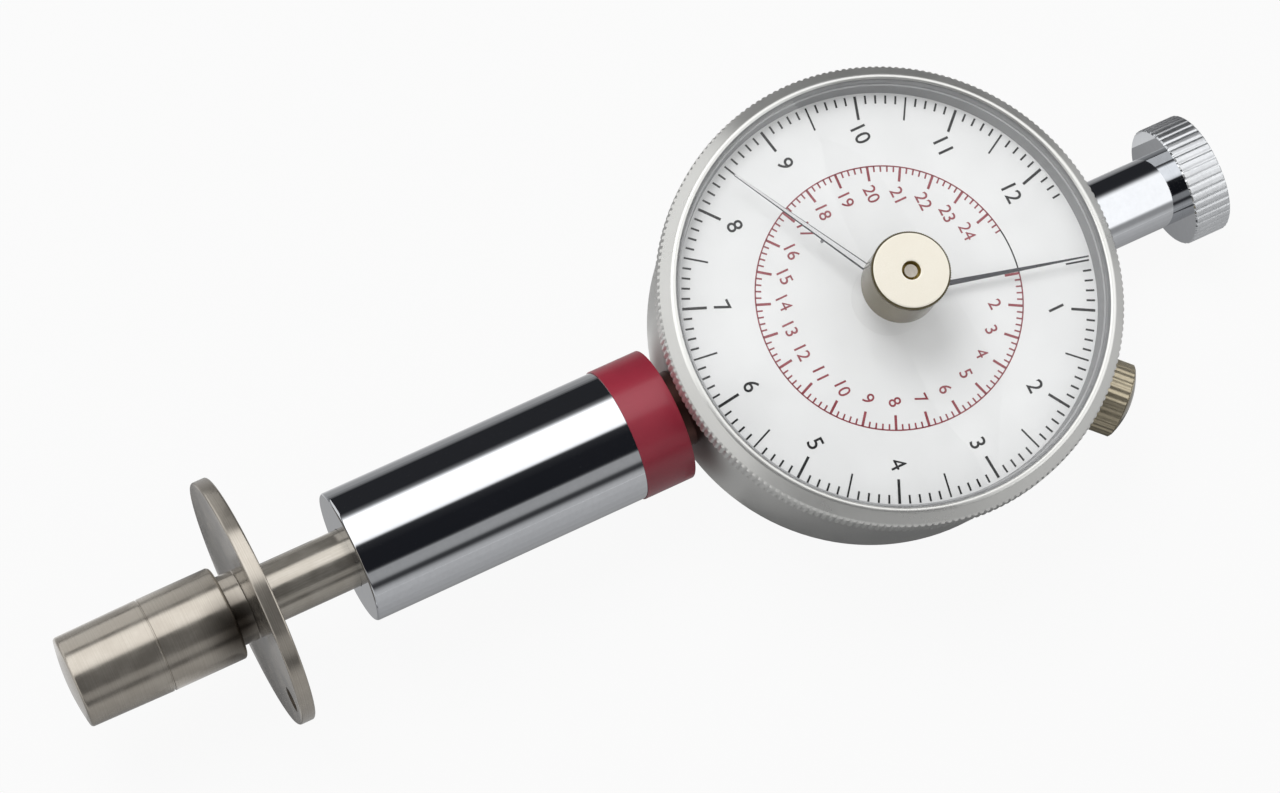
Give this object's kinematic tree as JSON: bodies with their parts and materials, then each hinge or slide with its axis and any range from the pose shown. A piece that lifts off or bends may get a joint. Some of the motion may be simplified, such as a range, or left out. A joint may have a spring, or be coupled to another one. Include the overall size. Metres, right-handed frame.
{
  "type": "fruit hardness tester",
  "caption": "Hand-held fruit hardness tester: a domed tip on a sprung plunger turns a dial pointer through a rack, with a drag pointer, reset knob, turning bezel and lock screw.",
  "frame": {"origin": "centre of the back cover's outer face, on the dial's axis; the tester lies on its back", "axes": "+Z out of the dial, +Y along the tool towards the top knob, +X to the right of someone reading the dial"},
  "size_m": [0.0542, 0.1465, 0.0376],
  "materials": {
    "satin_case": "satin cast and turned metal",
    "chrome": "mirror-bright plating",
    "champagne": "turned, pale champagne plating",
    "stainless": "satin turned metal with fine scratches",
    "screw_steel": "plain turned steel",
    "spring_steel": "drawn spring wire and strip",
    "movement_brass": "plain machined brass",
    "pointer_steel": "polished sheet",
    "dial_white": "matt white paint",
    "crystal_clear": "clear polished dome",
    "red_film": "thin semi-gloss burgundy film",
    "gasket_rubber": "matt",
    "washer_plastic": "plain sheet"
  },
  "bodies": {
    "case": {"gauge_case": "satin_case", "back_cover": "satin_case", "back_cover_screws": "screw_steel", "barrel": "chrome", "barrel_grub_screws": "screw_steel", "red_band": "red_film", "front_bush": "movement_brass", "main_spring": "spring_steel", "top_stem": "chrome", "rear_plate": "movement_brass", "rear_plate_screws": "screw_steel", "plate_pillars": "movement_brass", "front_plate": "movement_brass", "front_plate_screws": "screw_steel", "arbor_bushes": "movement_brass", "hairspring": "spring_steel", "hairspring_stud": "screw_steel", "bezel_wire": "spring_steel"},
    "plunger": {"plunger_rod": "stainless", "spring_collar": "stainless", "collar_pin": "screw_steel", "rack_rod": "stainless", "guide_pin": "screw_steel", "guard_disc": "stainless", "indenter_tip": "stainless"},
    "pointer": {"pinion_arbor": "stainless", "hairspring_collet": "movement_brass", "active_pointer": "pointer_steel"},
    "bezel": {"bezel": "satin_case", "dial_plate": "dial_white", "dial_ring": "satin_case", "crystal": "crystal_clear", "crystal_gasket": "gasket_rubber", "crystal_bush": "movement_brass"},
    "reset": {"reset_knob": "champagne", "reset_arbor": "stainless", "drag_washer": "washer_plastic", "drag_pointer": "pointer_steel"},
    "lock_shoe": {"lock_shoe": "movement_brass"},
    "lock_screw": {"lock_screw": "champagne"},
    "knob_washer": {"knob_washer": "chrome"},
    "top_knob": {"top_knob": "chrome"}
  },
  "joints": [
    {"name": "plunger_slide", "type": "slide", "parent": "case", "child": "plunger", "axis": [0, 1, 0], "range_m": [0, 0.0104], "stiffness_N_per_m": 11300, "springref_m": -0.00043, "deforming": ["main_spring"]},
    {"name": "pointer_turn", "type": "hinge", "parent": "case", "child": "pointer", "pos_m": [0, 0, 0.0188], "axis": [0, 0, -1], "range_deg": [0, 331.2], "deforming": ["hairspring"]},
    {"name": "bezel_turn", "type": "hinge", "parent": "case", "child": "bezel", "pos_m": [0, 0, 0.0188], "axis": [0, 0, 1], "continuous": true},
    {"name": "reset_turn", "type": "hinge", "parent": "bezel", "child": "reset", "pos_m": [0, 0, 0.0242], "axis": [0, 0, 1], "continuous": true},
    {"name": "lock_shoe_slide", "type": "slide", "parent": "case", "child": "lock_shoe", "axis": [-0.7071, -0.7071, 0], "range_m": [-0.0005, 0.0001]},
    {"name": "lock_turn", "type": "hinge", "parent": "lock_shoe", "child": "lock_screw", "pos_m": [0.01916, 0.01916, 0.0122], "axis": [-0.7071, -0.7071, 0], "range_deg": [-360, 72]},
    {"name": "knob_washer_slide", "type": "slide", "parent": "case", "child": "knob_washer", "axis": [0, 1, 0], "range_m": [0, 0.0015]},
    {"name": "top_knob_turn", "type": "hinge", "parent": "knob_washer", "child": "top_knob", "pos_m": [0, 0.0399, 0.008], "axis": [0, 1, 0], "range_deg": [0, 720]}
  ],
  "couplings": [
    {"joint": "pointer_turn", "follows": "plunger_slide", "rad_per_m": 555.56},
    {"joint": "lock_turn", "follows": "lock_shoe_slide", "rad_per_m": 12566},
    {"joint": "top_knob_turn", "follows": "knob_washer_slide", "rad_per_m": 8377.6}
  ]
}
